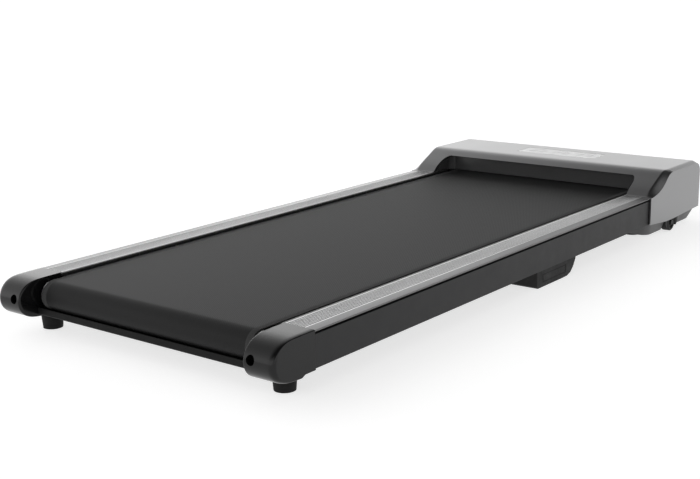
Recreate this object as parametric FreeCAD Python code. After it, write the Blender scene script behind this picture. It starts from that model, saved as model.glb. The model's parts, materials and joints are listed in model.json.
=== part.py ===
import FreeCAD, Part
import math
import os
from FreeCAD import Vector as V

# Flat under-desk walking treadmill, +Z up, +Y towards the motor hood, +X the
# walker's right. Origin: centre of the footprint, on the floor. Millimetres.

# ---------------------------------------------------------------- dimensions
Y_REAR = -638.0          # rearmost point of the end caps
Y_FRONT = 638.0          # front face of the hood
Y_SEAM_R = -558.0        # end cap / side rail joint
Y_SEAM_F = 412.0         # side rail / hood joint
X_CHEEK = 269.0          # hood side faces
X_OUT = 266.0            # outer edge of the aluminium side rail
X_SKIRT = 265.0          # outer face of the side skirt
X_RIB = 250.6            # outer edge of the ribbed tread area
X_IN = 216.5             # inner edge of the side rail
Z_RAIL = 82.0            # top of the side rail
Z_BAND = 80.6            # side rail height at its outer edge
Z_SKIRT_T = 75.6         # side skirt top, a shadow gap below the rail
Z_SKIRT_B = 30.5         # side skirt bottom
Z_TOP = 121.3            # top of the hood

ROLLER_R = 20.1          # both rollers
BELT_RI = 20.4           # belt inner radius on the rollers
BELT_T = 1.6             # belt thickness
BELT_X = 203.0           # half width of the belt
Y_RR = -586.0            # rear roller axis
Y_FR = 506.0             # front (drive) roller axis
Z_R = 56.8               # roller axis height
DECK_T = 15.0            # deck board thickness
DECK_X = 213.0           # half width of the deck

RAIL_X0, RAIL_X1 = 222.0, 247.0      # steel frame tube, across
RAIL_Z0, RAIL_Z1 = 34.0, 72.0        # steel frame tube, height
WALL = 2.0                           # steel tube wall

CAP_T = 2.6              # end cap wall
CAP_Z = 25.0             # underside of the end caps
CAP_ROUND = 8.0          # rounding towards the outer side

DISP_X, DISP_Y0, DISP_Y1 = 87.0, 532.0, 588.0   # display window
HOOD_T = 3.0             # hood wall
THROAT_X, THROAT_Z, THROAT_Y, THROAT_R = 217.0, 111.0, 480.0, 13.0

MOT_Y, MOT_Z, MOT_R = 578.0, 73.0, 37.0         # motor axis and radius
PUL_R, MPUL_R = 29.0, 12.0                      # drive pulley, motor pulley
PUL_X0, PUL_X1 = -220.0, -206.0

WHEEL_R, WHEEL_X0, WHEEL_X1, WHEEL_Y = 16.5, 248.5, 264.5, 518.0
FOOT_X, FOOT_Y = 227.0, -573.0
TENS_X = 229.0           # belt tension screws
PAN_Z = 6.0              # underside of the bottom pan

os.makedirs("parts", exist_ok=True)
BUILT = {}


# ------------------------------------------------------------------- helpers
def box(x0, x1, y0, y1, z0, z1):
    return Part.makeBox(x1 - x0, y1 - y0, z1 - z0, V(x0, y0, z0))


def cx(x0, x1, y, z, r):
    return Part.makeCylinder(r, x1 - x0, V(x0, y, z), V(1, 0, 0))


def cy(y0, y1, x, z, r):
    return Part.makeCylinder(r, y1 - y0, V(x, y0, z), V(0, 1, 0))


def cz(z0, z1, x, y, r):
    return Part.makeCylinder(r, z1 - z0, V(x, y, z0), V(0, 0, 1))


def poly(pts):
    return Part.Face(Part.makePolygon([V(*p) for p in pts] + [V(*pts[0])]))


def prism_x(yz, x0, x1):
    return poly([(x0, a, b) for a, b in yz]).extrude(V(x1 - x0, 0, 0))


def prism_y(xz, y0, y1):
    return poly([(a, y0, b) for a, b in xz]).extrude(V(0, y1 - y0, 0))


def prism_z(xy, z0, z1):
    return poly([(a, b, z0) for a, b in xy]).extrude(V(0, 0, z1 - z0))


def arc(cyy, czz, r, a0, a1, n):
    """points (y, z) round a centre, angles in degrees"""
    return [(cyy + r * math.cos(math.radians(a0 + (a1 - a0) * i / n)),
             czz + r * math.sin(math.radians(a0 + (a1 - a0) * i / n)))
            for i in range(n + 1)]


def rrect_wire(x0, x1, y0, y1, z, r):
    """rounded rectangle in a level plane, made of lines and true arcs"""
    s = math.sqrt(0.5)
    pts = []
    e = [Part.LineSegment(V(x0 + r, y0, z), V(x1 - r, y0, z)),
         Part.Arc(V(x1 - r, y0, z), V(x1 - r + r * s, y0 + r - r * s, z), V(x1, y0 + r, z)),
         Part.LineSegment(V(x1, y0 + r, z), V(x1, y1 - r, z)),
         Part.Arc(V(x1, y1 - r, z), V(x1 - r + r * s, y1 - r + r * s, z), V(x1 - r, y1, z)),
         Part.LineSegment(V(x1 - r, y1, z), V(x0 + r, y1, z)),
         Part.Arc(V(x0 + r, y1, z), V(x0 + r - r * s, y1 - r + r * s, z), V(x0, y1 - r, z)),
         Part.LineSegment(V(x0, y1 - r, z), V(x0, y0 + r, z)),
         Part.Arc(V(x0, y0 + r, z), V(x0 + r - r * s, y0 + r - r * s, z), V(x0 + r, y0, z))]
    return Part.Wire([i.toShape() for i in e])


def rbox(x0, x1, y0, y1, z0, z1, r):
    return Part.Face(rrect_wire(x0, x1, y0, y1, z0, r)).extrude(V(0, 0, z1 - z0))


def stand(x0, x1, z0, z1, y0, y1, r, only_top=False):
    """rounded rectangle seen from the front, extruded along Y"""
    s = math.sqrt(0.5)
    if only_top:
        e = [Part.LineSegment(V(x0, y0, z0), V(x1, y0, z0)),
             Part.LineSegment(V(x1, y0, z0), V(x1, y0, z1 - r)),
             Part.Arc(V(x1, y0, z1 - r), V(x1 - r + r * s, y0, z1 - r + r * s), V(x1 - r, y0, z1)),
             Part.LineSegment(V(x1 - r, y0, z1), V(x0 + r, y0, z1)),
             Part.Arc(V(x0 + r, y0, z1), V(x0 + r - r * s, y0, z1 - r + r * s), V(x0, y0, z1 - r)),
             Part.LineSegment(V(x0, y0, z1 - r), V(x0, y0, z0))]
        return Part.Face(Part.Wire([i.toShape() for i in e])).extrude(V(0, y1 - y0, 0))
    b = rbox(x0, x1, z0, z1, 0, y1 - y0, r)          # (x, z, depth)
    b.rotate(V(0, 0, 0), V(1, 0, 0), 90)             # (x, -depth, z)
    b.translate(V(0, y1, 0))
    return b


def hull2(c1, r1, c2, r2, x0, x1):
    """solid round two circles in a Y-Z plane, joined by their outer tangents"""
    (ya, za), (yb, zb) = c1, c2
    d = math.hypot(yb - ya, zb - za)
    base = math.atan2(zb - za, yb - ya)
    t = math.acos((r1 - r2) / d)

    def at(c, r, a):
        return V(x0, c[0] + r * math.cos(a), c[1] + r * math.sin(a))
    a1, a2 = base + t, base - t
    e = [Part.Arc(at(c1, r1, a1), at(c1, r1, base + math.pi), at(c1, r1, a2)).toShape(),
         Part.LineSegment(at(c1, r1, a2), at(c2, r2, a2)).toShape(),
         Part.Arc(at(c2, r2, a2), at(c2, r2, base), at(c2, r2, a1)).toShape(),
         Part.LineSegment(at(c2, r2, a1), at(c1, r1, a1)).toShape()]
    return Part.Face(Part.Wire(Part.__sortEdges__(e))).extrude(V(x1 - x0, 0, 0))


def mir(s):
    m = s.mirror(V(0, 0, 0), V(1, 0, 0))
    return m


def one(s):
    """the solids of a shape as a list"""
    return list(s.Solids)


def save(name, *shapes):
    sol = []
    for s in shapes:
        sol += one(s)
    for s in sol:
        if not s.isValid():
            s.fix(1e-4, 1e-4, 1e-4)
        assert s.isValid() and s.Volume > 0, name
    out = sol[0] if len(sol) == 1 else Part.makeCompound(sol)
    out.exportStep("parts/%s.step" % name)
    BUILT[name] = out
    return out


def pair(name, right):
    save(name + "_right", right)
    save(name + "_left", mir(right))


# ------------------------------------------------------------ side assemblies
def frame_rail():
    r = box(RAIL_X0, RAIL_X1, Y_REAR + 22, 618, RAIL_Z0, RAIL_Z1)
    r = r.cut(box(RAIL_X0 + WALL, RAIL_X1 - WALL, Y_REAR + 25, 619, RAIL_Z0 + WALL, RAIL_Z1 - WALL))
    # adjusting slot for the rear axle, in the inner wall
    slot = box(RAIL_X0 - 1, RAIL_X0 + WALL + 1, Y_RR - 8, Y_RR + 8, Z_R - 6.1, Z_R + 6.1)
    slot = slot.fuse(cx(RAIL_X0 - 1, RAIL_X0 + WALL + 1, Y_RR - 8, Z_R, 6.1))
    slot = slot.fuse(cx(RAIL_X0 - 1, RAIL_X0 + WALL + 1, Y_RR + 8, Z_R, 6.1))
    r = r.cut(slot)
    # tension screw hole in the closed rear end
    r = r.cut(cy(Y_REAR + 20, Y_REAR + 27, TENS_X, Z_R, 4.3))
    # front axle passes through both walls
    r = r.cut(cx(RAIL_X0 - 1, RAIL_X1 + 1, Y_FR, Z_R, 7.6))
    # foot stud, cap, pan screws from below
    r = r.cut(cz(RAIL_Z0 - 1, RAIL_Z0 + 3, FOOT_X, FOOT_Y, 3.1))
    r = r.cut(cz(RAIL_Z0 - 1, RAIL_Z0 + 3, 238, -600, 2.1)).cut(cz(RAIL_Z0 - 1, RAIL_Z0 + 3, 232, -547, 2.1))
    r = r.cut(cz(RAIL_Z0 - 1, RAIL_Z0 + 3, 230, 470, 2.1)).cut(cz(RAIL_Z0 - 1, RAIL_Z0 + 3, 230, 592, 2.1))
    for y in (22, 88):
        r = r.cut(cz(RAIL_Z0 - 1, RAIL_Z0 + 3, 235, y, 2.1))
    return r


pair("frame_rail", frame_rail())


def side_trim():
    """ribbed aluminium extrusion: tread plate, outer lip, inner flange, two legs"""
    top = [(X_IN, 70.5), (X_IN + 2, 70.5), (X_IN + 2, 79.4), (RAIL_X0, 79.4), (RAIL_X0, RAIL_Z1),
           (RAIL_X0 + 2, RAIL_Z1), (RAIL_X0 + 2, 79.4), (RAIL_X1 - 2, 79.4), (RAIL_X1 - 2, RAIL_Z1),
           (RAIL_X1, RAIL_Z1), (RAIL_X1, 79.4), (262.0, 78.9), (X_OUT, 78.9), (X_OUT, 80.2),
           (X_OUT - 0.8, Z_BAND + 0.2), (X_RIB + 0.8, Z_RAIL - 0.1), (X_RIB, Z_RAIL)]
    # eight grooves between the ribs, running the whole length
    n, x0, x1 = 8, X_IN + 2.5, X_RIB - 1.5
    p = (x1 - x0) / n
    g = []
    for i in range(n):
        a = x0 + p * i
        g += [(a + 1.0, Z_RAIL), (a + 1.5, Z_RAIL - 0.9), (a + p - 0.9, Z_RAIL - 0.9), (a + p - 0.4, Z_RAIL)]
    top += g[::-1] + [(X_IN + 0.6, Z_RAIL), (X_IN, Z_RAIL - 0.6)]
    return prism_y(top, Y_SEAM_R, Y_SEAM_F)


pair("side_trim", side_trim())

skirt = prism_y([(X_SKIRT, Z_SKIRT_B), (X_SKIRT, Z_SKIRT_T - 0.6), (X_SKIRT - 0.6, Z_SKIRT_T),
                 (RAIL_X1, Z_SKIRT_T), (RAIL_X1, Z_SKIRT_T - 2.4), (X_SKIRT - 2.6, Z_SKIRT_T - 2.4),
                 (X_SKIRT - 2.6, Z_SKIRT_B + 2.6), (RAIL_X1 - 3, Z_SKIRT_B + 2.6), (RAIL_X1 - 3, Z_SKIRT_B)],
                Y_SEAM_R, Y_SEAM_F)
pair("side_skirt", skirt)

guide = prism_y([(212.0, 77.2), (216.3, 77.2), (216.3, 81.0), (215.6, 81.6), (213.2, 81.6), (212.0, 80.4)],
                -562, 462)
pair("belt_guide", guide)


# end cap outline (y, z), nose first point on the top run, last one underneath:
# full section, outer side face, inner side face
CAP_F = [(-583, 82.0), (-599, 81.6), (-613, 79.6), (-625, 74.6), (-633.4, 66.4), (Y_REAR + 0.2, 55.5),
         (-636.6, 44.2), (-630.2, 34.6), (-619, 28.2), (-604, 25.5), (-588, CAP_Z)]
CAP_S = [(-583, 80.6), (-599, 80.2), (-612, 78.6), (-621.6, 74.0), (-628.2, 66.0), (-630.6, 55.4),
         (-629.4, 45.0), (-624.6, 36.2), (-615.4, 30.4), (-602.5, 27.6), (-588, 26.4)]
CAP_I = [(-583, 82.0), (-596.4, 81.8), (-608.4, 80.0), (-620.2, 75.2), (-628.8, 67.0), (-633.2, 55.8),
         (-631.6, 45.0), (-625.8, 35.8), (-616, 29.2), (-602.4, 25.9), (-588, CAP_Z)]


def blend(p, q, f):
    return [(a + f * (c - a), b + f * (d - b)) for (a, b), (c, d) in zip(p, q)]


def cap_wire(x, pts, y_end):
    c = Part.BSplineCurve()
    c.interpolate(Points=[V(x, y, z) for y, z in pts])
    e = [c.toShape(),
         Part.LineSegment(V(x, pts[-1][0], pts[-1][1]), V(x, y_end, pts[-1][1])).toShape(),
         Part.LineSegment(V(x, y_end, pts[-1][1]), V(x, y_end, pts[0][1])).toShape(),
         Part.LineSegment(V(x, y_end, pts[0][1]), V(x, pts[0][0], pts[0][1])).toShape()]
    return Part.Wire(e)


def end_cap():
    """hollow nose, rounded towards the outer side, thin bevel on the inner side"""
    # axle slot in the inner wall, open towards the front
    slot = box(X_IN - 1, X_IN + 3.2, Y_RR - 14, Y_SEAM_R + 1, Z_R - 7.5, Z_R + 7.5)
    o = Part.Face(cap_wire(X_IN + 2.2, CAP_F, Y_SEAM_R)).extrude(V(X_OUT - CAP_ROUND - X_IN - 2.2, 0, 0))
    # cavity: the same nose set in by the wall
    ic = [(y + (CAP_T + 0.6) * min(1, max(0, (-583 - y) / 40)), CAP_T * (53.5 - z) / 28.5 + z) for y, z in CAP_F]
    i = Part.Face(cap_wire(X_IN + 3, ic, Y_SEAM_R + 1)).extrude(V(X_OUT - CAP_ROUND - X_IN - 3, 0, 0))
    o = o.cut(slot).cut(i)
    ws = [cap_wire(X_OUT - CAP_ROUND + CAP_ROUND * math.sin(math.radians(t)),
                   blend(CAP_F, CAP_S, 1 - math.cos(math.radians(t))), Y_SEAM_R) for t in (0, 30, 55, 75, 90)]
    w = Part.makeLoft(ws, True, False)
    w = w.cut(Part.Face(cap_wire(X_OUT - CAP_ROUND - 1, ic, Y_SEAM_R + 1)).extrude(V(3.5, 0, 0)))
    w = w.cut(box(X_OUT - CAP_ROUND - 1, X_OUT - CAP_T, -603, Y_SEAM_R + 1, 31.8, 76.8))
    ws = [cap_wire(X_IN + 2.2 - 2.2 * math.sin(math.radians(t)),
                   blend(CAP_F, CAP_I, 1 - math.cos(math.radians(t))), Y_SEAM_R) for t in (0, 30, 60, 90)]
    c = o.fuse(w).fuse(Part.makeLoft(ws, True, False).cut(slot))
    # floor of the raised corner near the side skirt
    c = c.fuse(box(243.8, X_OUT - 1, -588, Y_SEAM_R, 29.2, 31.8))
    c = c.cut(prism_x([(-587, 24), (-587, 25.2), (-578, 29.2), (Y_SEAM_R + 1, 29.2), (Y_SEAM_R + 1, 24)], 246.4, 270))
    # access hole for the tension screw, stud hole and screw hole underneath
    c = c.cut(cy(Y_REAR - 1, -617, TENS_X, Z_R, 6.8))
    c = c.cut(cz(22, 30, FOOT_X, FOOT_Y, 3.3))
    c = c.cut(cz(22, 30, 238, -600, 2.2)).cut(cz(22, CAP_Z + 1.0, 238, -600, 4.2))
    return c


pair("end_cap", end_cap())

# ------------------------------------------------------------- cross members
for nm, y in (("cross_member_rear", -330.0), ("cross_member_center", -20.0), ("cross_member_front", 300.0)):
    t = box(-RAIL_X0, RAIL_X0, y - 16, y + 16, 40, 58).cut(box(-RAIL_X0 - 1, RAIL_X0 + 1, y - 14, y + 14, 42, 56))
    for s in (-1, 1):
        t = t.cut(cz(55, 59, s * 208, y, 3.1))
    save(nm, t)
nose = box(-RAIL_X1, RAIL_X1, 618, 630, RAIL_Z0, 64).cut(box(-RAIL_X1 - 1, RAIL_X1 + 1, 620, 628, RAIL_Z0 + 2, 62))
save("cross_member_nose", nose)

# rear guard: folded strip that closes the gap under the rear roller,
# screwed up against the frame rails
g = prism_x([(-606, 39.4), (-606, 30.5), (-604, 28.5), (-534, 28.5), (-534, 30.9), (-603, 30.9), (-603.6, 31.5), (-603.6, 39.4)],
            -X_IN + 0.3, X_IN - 0.3)
for s in (-1, 1):
    g = g.fuse(box(min(s * 200, s * 243.4), max(s * 200, s * 243.4), -555, -539, 28.5, 33.7))
    g = g.cut(cz(28, 35, s * 232, -547, 2.2)).cut(cz(27, 30.6, s * 232, -547, 4.2))
save("rear_guard", g.removeSplitter())

plate = box(-RAIL_X1, RAIL_X1, 536, 618, 31, 34).cut(box(-221, -204, 535, 550, 30, 35))
for s in (-1, 1):
    plate = plate.cut(box(min(s * 239, s * 248), max(s * 239, s * 248), 535, WHEEL_Y + 30, 30, 35)).cut(cz(30, 35, s * 230, 592, 2.1))
for x in (-150, 0, 150):
    plate = plate.cut(rbox(x - 24, x + 24, 552, 604, 30, 35, 6) if x == 0 else cz(30, 35, x, 611, 3))
save("motor_plate", plate)

# ------------------------------------------------------------- deck and belt
deck = box(-DECK_X, DECK_X, -562, 462, 77 - DECK_T, 77)
deck = deck.cut(prism_x([(462.1, 73.5), (462.1, 77.1), (455, 77.1)], -DECK_X - 1, DECK_X + 1))
deck = deck.cut(prism_x([(-562.1, 73.5), (-562.1, 77.1), (-555, 77.1)], -DECK_X - 1, DECK_X + 1))
pads, bolts = [], []
for y in (-330.0, -20.0, 300.0):
    for s in (-1, 1):
        x = s * 208
        deck = deck.cut(cz(60, 78, x, y, 3.3)).cut(Part.makeCone(3.3, 5.3, 3.2, V(x, y, 73.8)))
        pads.append(cz(58, 62, x, y, 12).cut(cz(57, 63, x, y, 3.3)))
        b = cz(46, 74.4, x, y, 3.0).fuse(Part.makeCone(3.0, 5.0, 2.6, V(x, y, 74.0))).removeSplitter()
        bolts.append(b.cut(prism_z([(x + 1.8 * math.cos(math.radians(a)), y + 1.8 * math.sin(math.radians(a)))
                                    for a in range(0, 360, 60)], 74.8, 77)))
save("deck_board", deck)
save("deck_cushions", *pads)
save("deck_bolts", *bolts)

ro = BELT_RI + BELT_T
belt = hull2((Y_RR, Z_R), ro, (Y_FR, Z_R), ro, -BELT_X, BELT_X).cut(
    hull2((Y_RR, Z_R), BELT_RI, (Y_FR, Z_R), BELT_RI, -BELT_X - 1, BELT_X + 1))
save("running_belt", belt)


# ------------------------------------------------------------------- rollers
def revolve_x(xr, y, z):
    """closed outline of (x, radius) points turned about an X axis"""
    f = Part.Face(Part.makePolygon([V(a, y, z + b) for a, b in xr] + [V(xr[0][0], y, z + xr[0][1])]))
    return f.revolve(V(0, y, z), V(1, 0, 0), 360)


save("rear_roller", revolve_x([(-207, 17.5), (-207, 19.3), (-206.2, ROLLER_R), (206.2, ROLLER_R), (207, 19.3), (207, 17.5)], Y_RR, Z_R))
save("rear_bearings", *[revolve_x([(s * 206.4, 6.05), (s * 206.4, 17.5), (s * 195, 17.5), (s * 195, 6.05)][::s], Y_RR, Z_R) for s in (1, -1)])
ax = cx(-240, 240, Y_RR, Z_R, 6.0)
for s in (-1, 1):
    ax = ax.cut(cy(Y_RR - 8, Y_RR + 8, s * TENS_X, Z_R, 4.0))
save("rear_axle", ax)

save("front_roller", revolve_x([(-205, 17.5), (-205, 19.3), (-204.2, ROLLER_R), (206.2, ROLLER_R), (207, 19.3), (207, 17.5)], Y_FR, Z_R))
save("front_bearings", *[revolve_x([(a, 7.55), (a, 17.5), (b, 17.5), (b, 7.55)], Y_FR, Z_R) for a, b in ((195, 206.4), (-193, -182))])
fa = cx(-249, 249, Y_FR, Z_R, 7.5)
for s in (-1, 1):
    fa = fa.cut(box(min(s * 247.2, s * 250), max(s * 247.2, s * 250), Y_FR - 8, Y_FR + 8, Z_R + 5, Z_R + 8))
save("front_axle", fa)


def ribbed(xa, xb, r, n):
    """outline of a poly-V rim, n grooves between xa and xb"""
    pts, p = [(xa, r)], 2.0
    w = n * p
    a = (xa + xb) / 2 - w / 2
    for i in range(n):
        pts += [(a + p * i + 0.15, r), (a + p * (i + 0.5), r - 1.6), (a + p * (i + 1) - 0.15, r)]
    return pts + [(xb, r)]


pul = revolve_x([(PUL_X0, 9.0), (PUL_X0, PUL_R)] + ribbed(PUL_X0, PUL_X1, PUL_R, 6)[1:-1] +
                [(PUL_X1, PUL_R), (PUL_X1, 17.4), (-194, 17.4), (-194, 14.5), (PUL_X1 - 6, 14.5), (PUL_X1 - 6, 9.0)], Y_FR, Z_R)
pul = pul.cut(revolve_x([(PUL_X0 - 1, 12.5), (PUL_X0 - 1, 25), (PUL_X0 + 5, 25), (PUL_X0 + 5, 12.5)], Y_FR, Z_R))
for k in range(5):
    a = math.radians(72 * k + 18)
    pul = pul.cut(cx(PUL_X0, PUL_X1 + 1, Y_FR + 21.3 * math.cos(a), Z_R + 21.3 * math.sin(a), 2.8))
save("drive_pulley", pul)

# --------------------------------------------------------------------- motor
MX0, MX1 = -196.0, -46.0
can = cx(MX0 + 10, MX1 - 10, MOT_Y, MOT_Z, MOT_R).cut(cx(MX0 + 9, MX1 - 9, MOT_Y, MOT_Z, MOT_R - 2.5))
save("motor_housing", can)


def motor_end(s):
    xa, xb = (MX0, MX0 + 10) if s < 0 else (MX1 - 10, MX1)
    c = cx(xa, xb, MOT_Y, MOT_Z, MOT_R - 0.5).cut(cx(xa - 1, xb + 1, MOT_Y, MOT_Z, 6.06))
    for k in range(8):
        a = math.radians(45 * k + 22.5)
        c = c.cut(cx(xa - 1, xb + 1, MOT_Y + 25 * math.cos(a), MOT_Z + 25 * math.sin(a), 4.6))
    return c


save("motor_end_caps", motor_end(-1), motor_end(1))
save("motor_shaft", cx(-221.3, MX1 + 8, MOT_Y, MOT_Z, 6.0))
arm = revolve_x([(-172, 6.0), (-172, 20), (-166, 24.5), (-96, 24.5), (-90, 20), (-84, 20), (-84, 13), (-66, 13), (-66, 6.0)], MOT_Y, MOT_Z)
save("motor_armature", arm)
mp = revolve_x([(PUL_X0, 6.0), (PUL_X0, MPUL_R)] + ribbed(PUL_X0, PUL_X1, MPUL_R, 6)[1:-1] + [(PUL_X1, MPUL_R), (PUL_X1, 6.0)], MOT_Y, MOT_Z)
save("motor_pulley", mp)
sad = []
for xa in (-182.0, -78.0):
    s_ = box(xa, xa + 18, 552, 604, 34, 60).cut(cx(xa - 1, xa + 19, MOT_Y, MOT_Z, MOT_R))
    s_ = s_.fuse(box(xa, xa + 18, 538, 553, 34, 38)).fuse(box(xa, xa + 18, 603, 617, 34, 38)).removeSplitter()
    s_ = s_.cut(cz(33, 40, xa + 9, 545, 3.2)).cut(cz(33, 40, xa + 9, 610.5, 3.2))
    sad.append(s_)
strap = []
for xa in (-180.0, -76.0):
    b = cx(xa, xa + 14, MOT_Y, MOT_Z, MOT_R + 1.6).cut(cx(xa - 1, xa + 15, MOT_Y, MOT_Z, MOT_R))
    strap.append(b.cut(box(xa - 1, xa + 15, 530, 625, 30, 60.3)))
save("motor_clamps", *(sad + strap))
db = hull2((Y_FR, Z_R), PUL_R + 3.4, (MOT_Y, MOT_Z), MPUL_R + 3.4, PUL_X0 + 0.6, PUL_X1 - 0.6).cut(
    hull2((Y_FR, Z_R), PUL_R + 0.4, (MOT_Y, MOT_Z), MPUL_R + 0.4, PUL_X0 - 1, PUL_X1 + 1))
save("drive_belt", db)

# ---------------------------------------------------------------- controller
tray = rbox(8, 206, 541, 614, 34, 50, 5).cut(rbox(10, 204, 543, 612, 36, 51, 3.5))
for x in (18, 196):
    for y in (551, 604):
        tray = tray.fuse(cz(36, 42, x, y, 3.5))
save("controller_tray", tray.removeSplitter())
hs = box(20, 120, 584, 606, 43.6, 48)
for k in range(11):
    hs = hs.fuse(box(20 + 9.7 * k, 23 + 9.7 * k, 584, 606, 47, 84))
save("controller_heatsink", hs.removeSplitter())
save("controller_board", box(12, 202, 545, 610, 42, 43.6), cz(43.7, 62, 50, 562, 15).cut(cz(43, 63, 50, 562, 6)),
     cz(43.7, 80, 142, 590, 12), cz(43.7, 80, 170, 590, 12),
     box(96, 118, 549, 566, 43.7, 58), box(176, 200, 549, 560, 43.7, 54), box(76, 90, 549, 566, 43.7, 54))

# ---------------------------------------------------------------------- hood
SC = [(Y_SEAM_F, 82.0), (416, 82.7), (421, 87.0), (428, 92.4), (438, 98.2), (450, 104.2),
      (462, 109.8), (472, 114.8), (481, 118.7), (491, 120.9), (503, Z_TOP)]


DROP = [0.9, 1.5, 5.2, 9.2, 12.6, 14.2, 13.6, 11.4, 8.6, 6.0, 4.4]
FWD = [0.0, 0.6, 2.0, 3.4, 4.6, 5.2, 5.2, 4.8, 4.4, 3.4, 2.0]


def refine(rows, first, last, n):
    """Catmull-Rom points between the given rows, n per gap; first and last are the rows before and after"""
    p = [first] + rows + [last]
    out = []
    for k in range(1, len(rows)):
        a, b, c, d = p[k - 1], p[k], p[k + 1], p[k + 2]
        ta = math.hypot(b[0] - a[0], b[1] - a[1]) ** 0.5
        tb = math.hypot(c[0] - b[0], c[1] - b[1]) ** 0.5
        tc = math.hypot(d[0] - c[0], d[1] - c[1]) ** 0.5
        for i in range(n):
            u = i / n
            row = []
            for w, x, y, z in zip(a, b, c, d):
                m1 = (y - x) + tb * ((x - w) / ta - (y - w) / (ta + tb))
                m2 = (y - x) + tb * ((z - y) / tc - (z - x) / (tb + tc))
                row.append((2 * u ** 3 - 3 * u ** 2 + 1) * x + (u ** 3 - 2 * u ** 2 + u) * m1 + (3 * u ** 2 - 2 * u ** 3) * y + (u ** 3 - u ** 2) * m2)
            out.append(row)
    return out + [list(rows[-1])]


SCD = refine([(y, z, a, b) for (y, z), a, b in zip(SC, DROP, FWD)], (408.0, 81.9, 0.9, 0.0), (518.0, Z_TOP, 4.2, 1.5), 2)


def side_wire(x, f):
    """hood outline in a Y-Z plane; f = 0 full size .. 1 fully rounded off"""
    s = [V(x, y + f * b, z - f * a) for y, z, a, b in SCD]
    d = 4.2 * f
    cyy, czz, r = Y_FRONT - 20.0 - 1.5 * f, Z_TOP - 20.0 - d, 20.0
    top_end = V(x, cyy, czz + r)
    front_top = V(x, cyy + r, czz)
    mid = V(x, cyy + r * math.sqrt(0.5), czz + r * math.sqrt(0.5))
    c = Part.BSplineCurve()
    c.interpolate(Points=s)
    e = [c.toShape(),
         Part.LineSegment(s[-1], top_end).toShape(),
         Part.Arc(top_end, mid, front_top).toShape(),
         Part.LineSegment(front_top, V(x, Y_FRONT - 1.5 * f, 28.3)).toShape(),
         Part.LineSegment(V(x, Y_FRONT - 1.5 * f, 28.3), V(x, 507, 24.5)).toShape(),
         Part.LineSegment(V(x, 507, 24.5), V(x, 481, 25.0)).toShape(),
         Part.LineSegment(V(x, 481, 25.0), V(x, Y_SEAM_F, 30.8)).toShape(),
         Part.LineSegment(V(x, Y_SEAM_F, 30.8), s[0]).toShape()]
    return Part.Wire(e)


mid_body = Part.Face(side_wire(-257, 0)).extrude(V(514, 0, 0))
secs = [side_wire(257 + a, f) for a, f in ((0, 0), (2.2, 0.05), (4.8, 0.24), (8, 0.58), (12, 1.0))]
wing = Part.makeLoft(secs, True, False)
outer = mid_body.fuse(wing).fuse(mir(wing))
# inner hollow: the outline set in by the wall
inn = [(Y_SEAM_F - 5, 10), (Y_SEAM_F - 5, 78.6), (418, 79.2), (424, 84.4), (431, 89.4), (441, 95.0), (453, 101.0),
       (465, 106.6), (475, 111.4), (484, 115.2), (493, 117.6), (508, Z_TOP - HOOD_T), (616, Z_TOP - HOOD_T), (626, 115), (633, 108), (Y_FRONT - HOOD_T, 100), (Y_FRONT - HOOD_T, 10)]
inner = prism_x(inn, -257, 257)
inn2 = [(Y_SEAM_F - 5, 10), (Y_SEAM_F - 5, 76.4), (430, 77.4), (441, 80.4), (453, 85.4), (465, 91.0), (475, 96.6),
        (484, 101.6), (493, 106.0), (508, 111.0), (520, 112.6), (612, 112.6), (622, 110), (630, 102), (Y_FRONT - HOOD_T - 1.5, 94), (Y_FRONT - HOOD_T - 1.5, 10)]
inner = inner.fuse(prism_x(inn2, -X_CHEEK + HOOD_T, X_CHEEK - HOOD_T))
hood = outer.cut(inner)
# throat where the belt runs in, rounded at its upper corners
hood = hood.cut(stand(-THROAT_X, THROAT_X, 60, THROAT_Z, Y_SEAM_F - 10, THROAT_Y + 14, THROAT_R, only_top=True))
# display window seat
hood = hood.cut(rbox(-DISP_X - 0.2, DISP_X + 0.2, DISP_Y0 - 0.2, DISP_Y1 + 0.2, Z_TOP - 1.4, Z_TOP + 1, 3.2))
hood = hood.cut(rbox(-DISP_X + 4, DISP_X - 4, DISP_Y0 + 4, DISP_Y1 - 4, Z_TOP - 5, Z_TOP + 1, 2))
# opening with a ledge behind it for the service panel in the front face
hood = hood.fuse(box(76, 219, Y_FRONT - 7.7, Y_FRONT - 2.5, 62, 99))
hood = hood.cut(stand(80, 215, 65, 96, Y_FRONT - 6, Y_FRONT + 1, 4))
hood = hood.cut(box(83.4, 211.6, Y_FRONT - 12, Y_FRONT, 67.8, 94.2))
# screw tabs inside the lower edge
for s in (-1, 1):
    for y in (470, 598):
        hood = hood.fuse(box(min(s * 249, s * 267), max(s * 249, s * 267), y - 6, y + 6, 34, 43).cut(cz(33, 44, s * 255, y, 1.95)))
save("motor_hood", hood.removeSplitter())

# service panel: carries the power inlet, the switch and the breaker, sunk 3 mm
sp = stand(80.1, 214.9, 65.1, 95.9, Y_FRONT - 6, Y_FRONT - 3, 3.9)
sp = sp.cut(box(177.5, 206.5, Y_FRONT - 9, Y_FRONT, 70.8, 90.8))
sp = sp.cut(box(122.5, 143.5, Y_FRONT - 9, Y_FRONT, 68.0, 94.0))
sp = sp.cut(cy(Y_FRONT - 9, Y_FRONT, 98, 81, 7.2))
save("service_panel", sp)

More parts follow.
